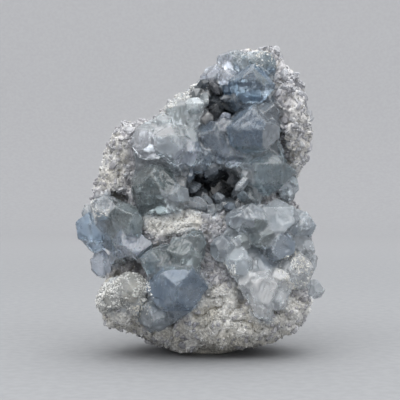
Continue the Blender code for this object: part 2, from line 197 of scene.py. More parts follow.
HOLLOWS = (
    Area(3.5, 51.5, 11.0, 7.0, 1.0),
    Area(3.0, 78.0, 6.0, 6.0, 1.0),
)
FRONT_OF_HOLLOWS = -10 * MM  # nothing in front of this is inside a hollow
DEPTH_OF_POCKET_SHADE = 5 * MM  # how far behind the middle the painted shade in the pockets fades out
TOP_OF_FOOT = 1.5 * MM  # nothing is strewn below this
PATCH = 6 * MM  # size of the patches in which more or less is strewn on the rock
FROST_PATCH = 4 * MM  # and of those in which grains coat the frosted crystals


def seen_at(spot: Vector) -> tuple[float, float]:
    """Where a spot shows from the front: its x and z on the plane y = 0, in millimetres."""
    share = -EYE.y / (spot.y - EYE.y)
    return (EYE.x + (spot.x - EYE.x) * share) / MM, (EYE.z + (spot.z - EYE.z) * share) / MM


def at_points(rule: object, points: np.ndarray) -> np.ndarray:
    """What a rule says of each point."""
    return np.array([rule(Vector(point)) for point in points])


def shares_in(areas: tuple, points: np.ndarray) -> np.ndarray:
    """How far inside any of some areas each point shows from the front.

    Args:
        areas: The areas.
        points: The points.

    Returns:
        A share from 0 to 1 for each point.
    """

    def share_at(spot: Vector) -> float:
        """The share at one point.

        Args:
            spot: The point.

        Returns:
            The share.
        """
        x, z = seen_at(spot)
        most = 0.0
        for area in areas:
            away = math.hypot((x - area.x) / area.wide, (z - area.z) / area.high)
            most = max(most, area.share * min(1.0, max(0.0, (1.25 - away) * 3)))
        return most

    return at_points(share_at, points)


def pocket_shade_shares(points: np.ndarray) -> np.ndarray:
    """How strongly each point of the rock lies in one of the pockets of the front, from 0 to 1: the share of
    painted shade there.
    """
    return shares_in(SHADED_POCKETS, points) * np.clip(1 - points[:, 1] / DEPTH_OF_POCKET_SHADE, 0, 1)


def tint_at(spot: Vector) -> tuple[float, float, float]:
    """The body colour of the crystals at a spot, by the zone that it shows in from the front."""
    x, z = seen_at(spot)
    return min(ZONES, key=lambda zone: math.hypot(x - zone.x, z - zone.z) / zone.reach).tint.value


class Wiring:
    """Adds nodes to a tree and joins them, so that a finish or a rule reads as a list of steps."""

    def __init__(self, tree: NodeTree) -> None:
        """Starts on a tree."""
        self.tree = tree

    def fill(self, node: Node, sockets: dict) -> None:
        """Gives inputs of a node their values.

        Args:
            node: The node.
            sockets: Values, or outputs that feed the inputs, by name or place.
        """
        for name, value in sockets.items():
            if isinstance(value, Socket):
                self.tree.links.new(value, node.inputs[name])
            else:
                node.inputs[name].default_value = value

    def put(self, kind: str, sockets: dict | None = None, **settings: object) -> Node:
        """Adds a node.

        Args:
            kind: The node's type.
            sockets: What its inputs get, as in fill.
            **settings: The node's own properties.

        Returns:
            The node.
        """
        node = self.tree.nodes.new(kind)
        for name, value in settings.items():
            setattr(node, name, value)
        self.fill(node, sockets or {})
        return node

    def math(self, operation: str, first: object, second: object = 0.0, clamp: bool = False) -> Socket:
        """One step of arithmetic on numbers or outputs, kept from 0 to 1 where clamp is set."""
        sockets = {0: first, 1: second}
        return self.put("ShaderNodeMath", sockets, operation=operation, use_clamp=clamp).outputs[0]

    def times(self, first: object, second: object) -> Socket:
        """The product of two numbers or outputs."""
        return self.math("MULTIPLY", first, second)

    def minus(self, first: object, second: object) -> Socket:
        """The difference of two numbers or outputs."""
        return self.math("SUBTRACT", first, second)

    def vector(self, operation: str, sockets: dict) -> Socket:
        """One step of vector arithmetic."""
        return self.put("ShaderNodeVectorMath", sockets, operation=operation).outputs[0]

    def ramp(self, value: Socket, low: float, high: float, to: tuple = (0.0, 1.0)) -> Socket:
        """Takes a value from the range low to high to another, smoothly and without going past its ends."""
        sockets = {"Value": value, "From Min": low, "From Max": high, "To Min": to[0], "To Max": to[1]}
        return self.put("ShaderNodeMapRange", sockets, interpolation_type="SMOOTHSTEP").outputs["Result"]

    def mix(self, share: object, first: object, second: object, blend: str = "MIX") -> Socket:
        """Mixes two colours.

        Args:
            share: How much of the second, as a number or an output.
            first: A colour or an output.
            second: A colour or an output.
            blend: How they blend.

        Returns:
            The colour.
        """
        node = self.put("ShaderNodeMix", {0: share}, data_type="RGBA", blend_type=blend)
        for place, value in ((6, first), (7, second)):
            self.fill(node, {place: value if isinstance(value, Socket) else (*value, 1.0)})
        return node.outputs[2]

    def noise(self, place: Socket, size: float, fine: float, rough: float = 0.5, out: str = "Fac") -> Socket:
        """A noise texture with grains of a size in metres and finer octaves of some strength."""
        sockets = {"Vector": place, "Scale": 1 / size, "Detail": fine, "Roughness": rough}
        return self.put("ShaderNodeTexNoise", sockets).outputs[out]

    def red(self, colour: Socket) -> Socket:
        """The first part of a colour."""
        return self.put("ShaderNodeSeparateColor", {0: colour}).outputs[0]

    def attribute(self, name: str, output: str = "Fac") -> Socket:
        """What a mesh attribute says."""
        return self.put("ShaderNodeAttribute", attribute_name=name).outputs[output]


def start_group(name: str, size: float) -> tuple[Wiring, Socket, Socket]:
    """Starts a shader node group that materials share, with one input, Size.

    Args:
        name: The group's name.
        size: The usual value of Size.

    Returns:
        The wiring, the object's own coordinates, and the scale that belongs to Size.
    """
    tree = bpy.data.node_groups.new(name, "ShaderNodeTree")
    tree.interface.new_socket(name="Size", in_out="INPUT", socket_type="NodeSocketFloat").default_value = size
    wiring = Wiring(tree)
    scale = wiring.math("DIVIDE", 1.0, wiring.put("NodeGroupInput").outputs["Size"])
    return wiring, wiring.put("ShaderNodeTexCoord").outputs["Object"], scale


def end_group(wiring: Wiring, values: dict[str, Socket]) -> NodeTree:
    """Gives a shader node group its outputs.

    Args:
        wiring: The wiring of the group.
        values: The numbers that it gives, by name.

    Returns:
        The group.
    """
    for name in values:
        wiring.tree.interface.new_socket(name=name, in_out="OUTPUT", socket_type="NodeSocketFloat")
    wiring.put("NodeGroupOutput", values)
    return wiring.tree


def sugar_group() -> NodeTree:
    """The sugary grain of broken celestine: grains of different brightness, dark veins, and their relief.

    Returns:
        The group, with Light, Speck, Warm and Relief out.
    """
    wiring, place, scale = start_group("sugar_grain", 0.7 * MM)
    bend = wiring.noise(place, 1.6 * MM, 3.0, 0.6, "Color")
    offset = wiring.vector("SCALE", {0: bend, "Scale": 0.5 * MM})
    bent = wiring.vector("ADD", {0: place, 1: offset})
    grains = wiring.put("ShaderNodeTexVoronoi", {"Vector": bent, "Scale": scale}).outputs
    fine = wiring.noise(place, 0.45 * MM, 3.0, 0.65)
    patches = wiring.noise(place, 5 * MM, 4.0, 0.6)
    ridges = wiring.minus(wiring.noise(bent, 2.4 * MM, 3.0, 0.6), 0.5)
    veins = wiring.minus(1.0, wiring.ramp(wiring.math("ABSOLUTE", ridges), 0.004, 0.035))
    values = {
        "Light": wiring.math("ADD", wiring.times(wiring.red(grains["Color"]), 0.6), wiring.times(fine, 0.4)),
        "Speck": wiring.times(veins, wiring.ramp(patches, 0.40, 0.60, (0.0, 0.75))),
        "Warm": wiring.ramp(wiring.noise(place, 9 * MM, 3.0), 0.42, 0.66),
        "Relief": wiring.minus(fine, wiring.times(grains["Distance"], 0.9)),
    }
    return end_group(wiring, values)


def veil_group() -> NodeTree:
    """Cloudy veils and planes inside a crystal, and the faint haze and relief of its faces.

    Returns:
        The group, with Veil, Haze, Shade, Plane and Relief out.
    """
    wiring, place, scale = start_group("crystal_veils", 6 * MM)
    sockets = {"Vector": place, "Scale": scale, "Detail": 4.0, "Roughness": 0.55, "Distortion": 0.6}
    clouds = wiring.put("ShaderNodeTexNoise", sockets).outputs["Fac"]
    fine = wiring.noise(place, 1.1 * MM, 4.0, 0.6)
    planes = 0.5
    for size, share in ((5.0 * MM, 0.6), (2.2 * MM, 0.4)):
        cell = wiring.put("ShaderNodeTexVoronoi", {"Vector": place, "Scale": 1 / size}).outputs["Color"]
        planes = wiring.math("ADD", planes, wiring.times(wiring.minus(wiring.red(cell), 0.5), share))
    values = {
        "Veil": wiring.ramp(clouds, 0.44, 0.68),
        "Haze": wiring.times(wiring.ramp(fine, 0.4, 0.75), wiring.ramp(clouds, 0.35, 0.6)),
        "Shade": wiring.ramp(wiring.noise(place, 3.4 * MM, 2.0, 0.45), 0.36, 0.62),
        "Plane": planes,
        "Relief": fine,
    }
    return end_group(wiring, values)


def new_material(name: str) -> tuple[Material, Wiring, Node]:
    """Starts a material.

    Args:
        name: Its name.

    Returns:
        The material, the wiring of its tree, and its Principled shader.
    """
    made = bpy.data.materials.new(name)
    made.use_nodes = True
    return made, Wiring(made.node_tree), made.node_tree.nodes["Principled BSDF"]


def glow(shader: Node, share: float, reach: float) -> None:
    """Lets a share of the light spread some way under a surface, as it does in sugar or milky crystal."""
    for name, value in (("Weight", share), ("Radius", (1.0, 1.0, 1.0)), ("Scale", reach)):
        shader.inputs[f"Subsurface {name}"].default_value = value


@dataclass(frozen=True)
class RockFinish:
    """Pale, granular celestine rock, stained in its crevices, with an earthy rind at the back.

    Attributes:
        name: The material's name.
        grain: Size of a grain.
        relief: Height of the grains' relief.
        pale: Colour of the clean grains.
        grey: Colour of the duller ones.
        warm: Colour of the cream patches, and how strong it is.
        stain: Colour of the olive stains in pits, and how strong it is.
        speck: Colour of the dark veins.
        earth: Colour of the rind at the back, and how strong it is.
        blue: Colour under and beside the crystals, bluish and darker there as painted shade.
        deep: Near-black painted shade in the pockets of the front.
        mass: Darkest and lightest colour where it is a mass of small crystals.
        mass_share: How strong that is.
        planes: How dark and how light the planes in that mass are.
    """

    name: str
    grain: float = 0.75 * MM
    relief: float = 0.35 * MM
    pale: tuple = linear(235, 233, 227)
    grey: tuple = linear(190, 188, 182)
    warm: tuple = (linear(214, 208, 194), 0.6)
    stain: tuple = (linear(112, 106, 84), 0.6)
    speck: tuple = linear(96, 96, 90)
    earth: tuple = (linear(158, 148, 130), 0.75)
    blue: tuple = linear(166, 172, 178)
    deep: tuple = linear(30, 33, 38)
    mass: tuple = (linear(168, 167, 170), linear(194, 192, 194))
    mass_share: float = 0.92
    planes: tuple = (0.80, 1.16)

    def build(self, groups: dict[str, NodeTree]) -> Material:
        """Builds the material.

        Args:
            groups: The shared node groups by name.

        Returns:
            The material.
        """
        made, wiring, shader = new_material(self.name)
        sugar = wiring.put("ShaderNodeGroup", {"Size": self.grain}, node_tree=groups["sugar"]).outputs
        veils = wiring.put("ShaderNodeGroup", node_tree=groups["veils"]).outputs
        grown = wiring.attribute("grown")
        colour = wiring.mix(wiring.ramp(sugar["Light"], 0.25, 0.75), self.grey, self.pale)
        colour = wiring.mix(wiring.times(sugar["Warm"], self.warm[1]), colour, self.warm[0], "MULTIPLY")
        mass = wiring.mix(wiring.ramp(sugar["Light"], 0.3, 0.7), *self.mass)
        plane = wiring.mix(veils["Plane"], *((level,) * 3 for level in self.planes))
        mass = wiring.mix(1.0, mass, plane, "MULTIPLY")
        stained = wiring.ramp(wiring.attribute("pit"), 0.4, 0.95)
        layers = (
            (wiring.times(grown, self.mass_share), mass),
            (wiring.times(wiring.attribute("rind"), self.earth[1]), self.earth[0]),
            (wiring.times(stained, self.stain[1]), self.stain[0]),
            (wiring.times(sugar["Speck"], wiring.ramp(grown, 0.0, 1.0, (1.0, 0.15))), self.speck),
            # painted shade: bluish and darker under and beside the crystals
            (wiring.attribute("covered"), self.blue),
            # painted shade: the pockets of the front are made near-black
            (wiring.attribute("pocket"), self.deep),
        )
        for share, over in layers:
            colour = wiring.mix(share, colour, over)
        rough = wiring.ramp(sugar["Light"], 0.2, 0.8, (0.85, 0.42))
        rough = wiring.times(rough, wiring.ramp(grown, 0.0, 1.0, (1.0, 0.45)))
        sockets = {"Height": sugar["Relief"], "Distance": self.relief,
                   "Strength": wiring.ramp(grown, 0.0, 1.0, (0.6, 0.2))}
        bump = wiring.put("ShaderNodeBump", sockets).outputs[0]
        wiring.fill(shader, {"Base Color": colour, "Roughness": rough, "Normal": bump})
        glow(shader, 0.6, 1.2 * MM)
        return made


@dataclass(frozen=True)
class GrainFinish:
    """Loose sugary grains and chips, each of its own brightness.

    Attributes:
        name: The material's name.
        dull: Colour of the darkest grains.
        bright: Colour of the lightest.
        warm: Colour of the cream ones, and how strong it is.
        speck: Colour of the few dark ones.
        earth: Colour of those on the rind at the back, and how strong it is.
    """

    name: str
    dull: tuple = linear(176, 176, 174)
    bright: tuple = linear(226, 226, 224)
    warm: tuple = (linear(216, 211, 200), 0.7)
    speck: tuple = linear(124, 124, 118)
    earth: tuple = (linear(170, 160, 142), 0.75)

    def build(self, groups: dict[str, NodeTree]) -> Material:
        """Builds the material.

        Args:
            groups: The shared node groups by name.

        Returns:
            The material.
        """
        made, wiring, shader = new_material(self.name)
        cream = wiring.put("ShaderNodeGroup", node_tree=groups["sugar"]).outputs["Warm"]
        tone = wiring.attribute("tone")
        colour = wiring.mix(tone, self.dull, self.bright)
        colour = wiring.mix(wiring.times(cream, self.warm[1]), colour, self.warm[0], "MULTIPLY")
        colour = wiring.mix(wiring.times(wiring.attribute("rind"), self.earth[1]), colour, self.earth[0])
        colour = wiring.mix(wiring.ramp(tone, 0.04, 0.02), colour, self.speck)
        wiring.fill(shader, {"Base Color": colour, "Roughness": wiring.ramp(tone, 0.2, 1.0, (0.7, 0.3))})
        glow(shader, 0.6, 0.5 * MM)
        return made


@dataclass(frozen=True)
class CrystalFinish:
    """Clear to milky celestine: tinted body, cloudy veils, inner planes and lighter worn edges.

    Attributes:
        name: The material's name.
        clear: How much light passes the surface instead of scattering, from 0 to 1.
        density: How strongly the body dims light, per metre. At 0 it has no body colour of its own.
        body: Colour of the light that passes the body.
        veil: How white the veils are.
        shade: What the body colour is multiplied by in its darker clouds.
        planes: How much lighter or darker the planes inside it are.
        wear: How light the edges are.
        grit: How light the clefts between the crystals are.
        frost: Colour of worn edges and gritty clefts.
        rough: Roughness of the clean faces and of the etched ones.
        relief: Height and strength of the faces' relief.
        ior: Index of refraction.
        glow: How much of the scattered light spreads under the surface, and how far.
        loose: How much whiter some of the small crystals are than others, which have a tone each.
    """

    name: str
    clear: float = 0.80
    density: float = 12.0
    body: tuple = (0.52, 0.66, 0.78)
    veil: float = 0.3
    shade: tuple = (0.85, 0.87, 0.89)
    planes: float = 0.14
    wear: float = 0.3
    grit: float = 0.55
    frost: tuple = linear(214, 219, 222)
    rough: tuple = (0.08, 0.35)
    relief: tuple = (0.12 * MM, 0.5)
    ior: float = 1.62
    glow: tuple = (0.5, 1.0 * MM)
    loose: float = 0.0

    def build(self, groups: dict[str, NodeTree]) -> Material:
        """Builds the material.

        Args:
            groups: The shared node groups by name.

        Returns:
            The material.
        """
        made, wiring, shader = new_material(self.name)
        veils = wiring.put("ShaderNodeGroup", node_tree=groups["veils"]).outputs
        edge = wiring.attribute("edge")
        dim = wiring.mix(veils["Shade"], self.shade, (1.0, 1.0, 1.0))
        colour = wiring.mix(1.0, wiring.attribute("tint", "Color"), dim, "MULTIPLY")
        plane = wiring.mix(veils["Plane"], (1 - self.planes,) * 3, (1 + self.planes,) * 3)
        colour = wiring.mix(1.0, colour, plane, "MULTIPLY")
        layers = [(veils["Veil"], self.veil, Tint.MILKY.value)]
        if self.loose:
            layers.append((wiring.attribute("tone"), self.loose, Tint.MILKY.value))
        layers.append((wiring.times(edge, wiring.math("ADD", veils["Haze"], 0.35)), self.wear, self.frost))
        layers.append((wiring.attribute("cleft"), self.grit, self.frost))
        for place, share, over in layers:
            colour = wiring.mix(wiring.times(place, share), colour, over)
        rough = wiring.math("ADD", veils["Haze"], wiring.times(edge, 0.5), True)
        sockets = {"Height": veils["Relief"], "Distance": self.relief[0], "Strength": self.relief[1]}
        bump = wiring.put("ShaderNodeBump", sockets).outputs[0]
        wiring.fill(shader, {"Base Color": colour, "Roughness": wiring.ramp(rough, 0.0, 1.0, self.rough),
                             "Normal": bump})
        shader.inputs["Transmission Weight"].default_value = self.clear
        shader.inputs["IOR"].default_value = self.ior
        glow(shader, *self.glow)
        if self.density:
            sockets = {"Color": (*self.body, 1.0), "Density": self.density}
            absorb = wiring.put("ShaderNodeVolumeAbsorption", sockets).outputs[0]
            wiring.fill(made.node_tree.nodes["Material Output"], {"Volume": absorb})
        return made


@dataclass(frozen=True)
class StageFinish:
    """Plain pale paper for the floor and what is behind.

    Attributes:
        name: The material's name.
        floor: Its colour where it lies.
        bend: Its colour where it bends up.
        wall: Its colour where it stands.
    """

    name: str = "stage_paper"
    floor: tuple = linear(138, 139, 141)
    bend: tuple = linear(154, 154, 156)
    wall: tuple = linear(166, 166, 168)

    def build(self) -> Material:
        """Builds the material.

        Returns:
            The material.
        """
        made, wiring, shader = new_material(self.name)
        place = wiring.put("ShaderNodeTexCoord").outputs["Object"]
        height = wiring.put("ShaderNodeSeparateXYZ", {0: place}).outputs["Z"]
        away = wiring.put("ShaderNodeVectorMath", {0: place}, operation="LENGTH").outputs["Value"]
        colour = wiring.mix(wiring.ramp(away, 0.2, 0.66), self.floor, self.bend)
        colour = wiring.mix(wiring.ramp(height, 0.10, 0.36), colour, self.wall)
        fibre = wiring.ramp(wiring.noise(place, 3 * MM, 3.0), 0.3, 0.7, (0.0, 0.03))
        colour = wiring.mix(fibre, colour, (1.0, 1.0, 1.0))
        wiring.fill(shader, {"Base Color": colour, "Roughness": 0.9, "Specular IOR Level": 0.2})
        return made


def object_of(mesh: Mesh, name: str) -> Object:
    """Puts a mesh in the scene as an object at the origin.

    Args:
        mesh: The mesh.
        name: The object's name.

    Returns:
        The object.
    """
    made = bpy.data.objects.new(name, mesh)
    bpy.context.scene.collection.objects.link(made)
    return made


def settled(obj: Object) -> Object:
    """Takes an object's modifiers into its mesh.

    Args:
        obj: The object.

    Returns:
        The same object with a plain mesh and no modifiers.
    """
    graph = bpy.context.evaluated_depsgraph_get()
    mesh = bpy.data.meshes.new_from_object(obj.evaluated_get(graph))
    obj.modifiers.clear()
    old = obj.data
    obj.data = mesh
    bpy.data.meshes.remove(old)
    return obj


def node_bmesh(node: str) -> bmesh.types.BMesh:
    """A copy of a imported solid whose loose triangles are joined.

    Args:
        node: The solid's name.

    Returns:
        The mesh, which the caller frees.
    """
    bm = bmesh.new()
    bm.from_mesh(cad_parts[node].data)
    bmesh.ops.remove_doubles(bm, verts=bm.verts, dist=1e-6)
    return bm


def mesh_from(bm: bmesh.types.BMesh, name: str) -> Mesh:
    """Takes a mesh over from where it was edited, and frees that.

    Args:
        bm: Where it was edited.
        name: The mesh's name.

    Returns:
        The mesh.
    """
    mesh = bpy.data.meshes.new(name)
    bm.to_mesh(mesh)
    bm.free()
    return mesh


def remeshed(node: str, name: str, voxel: float) -> Object:
    """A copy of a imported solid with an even, fine mesh.

    Args:
        node: The solid's name.
        name: The new object's name.
        voxel: The size of its faces.

    Returns:
        The object.
    """
    made = object_of(mesh_from(node_bmesh(node), name), name)
    modifier = made.modifiers.new("even", "REMESH")
    modifier.mode = "VOXEL"
    modifier.voxel_size = voxel
    return settled(made)


class Surface:
    """A dense mesh as arrays, for smoothing, relief and masks."""

    def __init__(self, mesh: Mesh) -> None:
        """Reads a mesh.

        Args:
            mesh: The mesh.
        """
        self.mesh = mesh
        self.count = len(mesh.vertices)
        self.points = np.zeros(self.count * 3, np.float32)
        mesh.vertices.foreach_get("co", self.points)
        self.points = self.points.reshape(-1, 3).astype(float)
        ends = np.zeros(len(mesh.edges) * 2, np.int32)
        mesh.edges.foreach_get("vertices", ends)
        self.ends = ends.reshape(-1, 2)
        self.degree = np.bincount(self.ends.ravel(), minlength=self.count)[:, None]

    def normals(self) -> np.ndarray:
        """The direction that the surface faces at each point.

        Returns:
            The unit vectors.
        """
        self.write()
        found = np.zeros(self.count * 3, np.float32)
        self.mesh.vertex_normals.foreach_get("vector", found)
        return found.reshape(-1, 3).astype(float)

    def around(self, values: np.ndarray) -> np.ndarray:
        """The mean of each point's neighbours.

        Args:
            values: One row a point.

        Returns:
            One row a point.
        """
        columns = []
        for column in values.T:
            total = np.bincount(self.ends[:, 0], weights=column[self.ends[:, 1]], minlength=self.count)
            total += np.bincount(self.ends[:, 1], weights=column[self.ends[:, 0]], minlength=self.count)
            columns.append(total)
        return np.stack(columns, axis=1) / self.degree

    def blurred(self, values: np.ndarray, times: int) -> np.ndarray:
        """Gives each point the mean of its neighbours' values.

        Args:
            values: One number a point.
            times: How often.

        Returns:
            One number a point.
        """
        values = values[:, None]
        for _ in range(times):
            values = self.around(values)
        return values[:, 0]

    def calmed(self, times: int) -> np.ndarray:
        """Where the points are once each has moved halfway to its neighbours' mean.

        Args:
            times: How often.

        Returns:
            The points.
        """
        calm = self.points.copy()
        for _ in range(times):
            calm += 0.5 * (self.around(calm) - calm)
        return calm

    def hollowness(self, times: int) -> np.ndarray:
        """How far each point lies below the calmed surface, in metres: above 0 in a hollow, else below."""
        normals = self.normals()
        return np.einsum("ij,ij->i", self.calmed(times) - self.points, normals)

    def write(self) -> None:
        """Puts the points back in the mesh."""
        self.mesh.vertices.foreach_set("co", self.points.astype(np.float32).ravel())
        self.mesh.update()

    def keep(self, name: str, values: np.ndarray) -> None:
        """Stores a value or a colour for each point.

        Args:
            name: The attribute's name.
            values: One number a point, or three for a colour.
        """
        if values.ndim == 1:
            made = self.mesh.attributes.new(name, "FLOAT", "POINT")
            made.data.foreach_set("value", values.astype(np.float32))
        else:
            made = self.mesh.attributes.new(name, "FLOAT_COLOR", "POINT")
            full = np.concatenate([values, np.ones((self.count, 1))], axis=1)
            made.data.foreach_set("color", full.astype(np.float32).ravel())


def within_box(surface: Surface) -> None:
    """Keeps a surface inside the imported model's box, and so above the floor."""
    surface.points = np.clip(surface.points, np.array(CAD_BOX[0]), np.array(CAD_BOX[1]))


def finish_piece(obj: Object, slot: str, *nodes: str) -> None:
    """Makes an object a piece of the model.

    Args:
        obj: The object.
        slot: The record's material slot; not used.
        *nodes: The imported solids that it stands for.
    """
    obj.data.shade_smooth()
    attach(obj, ROOT)
    if nodes:
        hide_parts(*nodes)
    faces = sum(len(p.vertices) - 2 for p in obj.data.polygons)
    log.info("%s: %d triangles", obj.name, faces)


def facet_height(point: Vector, facets: tuple) -> float:
    """How far a surface stands out at a point where it is a mass of small crystals.

    Args:
        point: The point.
        facets: Slope and size of the tilted faces, coarse to fine.

    Returns:
        The height in metres.
    """
    height = 0.0
    for slope, size in facets:
        middle = noise.voronoi(point / size)[1][0]
        tilt = noise.cell_vector(middle * 5.1) - Vector((0.5, 0.5, 0.5))
        height += slope * (point - middle * size).dot(tilt) + 0.25 * size * (noise.cell(middle * 7.3) - 0.5)
    return height


@dataclass
class RockBody:
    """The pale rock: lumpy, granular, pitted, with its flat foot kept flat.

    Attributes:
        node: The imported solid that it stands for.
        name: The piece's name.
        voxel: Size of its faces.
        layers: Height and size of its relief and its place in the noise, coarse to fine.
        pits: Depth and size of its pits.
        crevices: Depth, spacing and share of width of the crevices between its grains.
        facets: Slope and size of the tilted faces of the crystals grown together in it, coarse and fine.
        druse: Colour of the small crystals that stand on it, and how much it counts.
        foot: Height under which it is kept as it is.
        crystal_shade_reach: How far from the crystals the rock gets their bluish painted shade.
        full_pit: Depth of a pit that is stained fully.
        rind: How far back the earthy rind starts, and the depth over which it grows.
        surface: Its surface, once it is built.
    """

    node: str = "rock_matrix"
    name: str = "rock_surface"
    voxel: float = 0.52 * MM
    layers: tuple = (
        (1.00 * MM, 5.0 * MM, (0, 0, 0)),
        (0.60 * MM, 2.2 * MM, (9, 2, 4)),
        (0.30 * MM, 0.9 * MM, (3, 7, 1)),
    )
    pits: tuple = (0.8 * MM, 3.2 * MM)
    crevices: tuple = (1.2 * MM, 5.0 * MM, 0.17)
    facets: tuple = ((0.5, 4.2 * MM), (0.5, 2.1 * MM))
    druse: tuple = (linear(204, 201, 205), 0.85)
    foot: float = 0.8 * MM
    crystal_shade_reach: float = 2.0 * MM
    full_pit: float = 0.5 * MM
    rind: tuple = (2.0 * MM, 12.0 * MM)
    surface: Surface = field(init=False, default=None)

    def relief(self, point: Vector) -> float:
        """How far the rock stands out at a point, in metres.

        Args:
            point: The point.

        Returns:
            The height.
        """
        height = 0.0
        for high, size, place in self.layers:
            height += high * noise.noise(point / size + Vector(place))
        pit = noise.noise(point / self.pits[1] + Vector((1, 8, 5)))
        height -= self.pits[0] * max(0.0, pit - 0.25) * 2
        away = abs(noise.noise(point / self.crevices[1] + Vector((6, 1, 3)))) / self.crevices[2]
        calm = min(1.0, max(0.3, 1 - point.y / (10 * MM)))
        return height - calm * self.crevices[0] * max(0.0, 1 - away)

    def build(self, material: Material, crystals: BVHTree) -> Object:
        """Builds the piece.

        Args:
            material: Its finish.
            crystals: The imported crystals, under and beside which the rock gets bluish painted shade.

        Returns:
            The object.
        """
        obj = remeshed(self.node, self.name, self.voxel)
        surface = self.surface = Surface(obj.data)
        surface.points = surface.calmed(4)
        normals = surface.normals()
        grown = (1 - shares_in(BARE_ROCK, surface.points)) * np.clip(0.9 - normals[:, 1] * 2, 0, 1)
        rough = at_points(self.relief, surface.points)
        faceted = at_points(lambda point: facet_height(point, self.facets), surface.points)
        heights = rough * (1 - 0.6 * grown) + faceted * grown
        firm = np.clip(surface.points[:, 2] / self.foot - 0.5, 0.0, 1.0)
        surface.points += normals * (heights * firm)[:, None]
        within_box(surface)
        surface.keep("pit", np.clip(surface.hollowness(14) / self.full_pit, 0, 1))
        # painted shade: the rock under and beside the crystals is made bluish and darker
        near = [crystals.find_nearest(Vector(p), self.crystal_shade_reach)[3] for p in surface.points]
        near = np.array([self.crystal_shade_reach if away is None else away for away in near])
        surface.keep("covered", np.clip(1 - near / self.crystal_shade_reach, 0, 1))
        back = np.clip((surface.points[:, 1] - self.rind[0]) / self.rind[1], 0, 1)
        surface.keep("rind", np.clip(surface.normals()[:, 1] * 0.8 + 0.3, 0, 1) * back)
        surface.keep("grown", grown)
        # painted shade in the pockets of the front
        surface.keep("pocket", pocket_shade_shares(surface.points))
        tints = at_points(tint_at, surface.points)
        surface.keep("tint", tints + self.druse[1] * (np.array(self.druse[0]) - tints))
        surface.write()
        obj.data.materials.append(material)
        finish_piece(obj, "rock", self.node)
        return obj


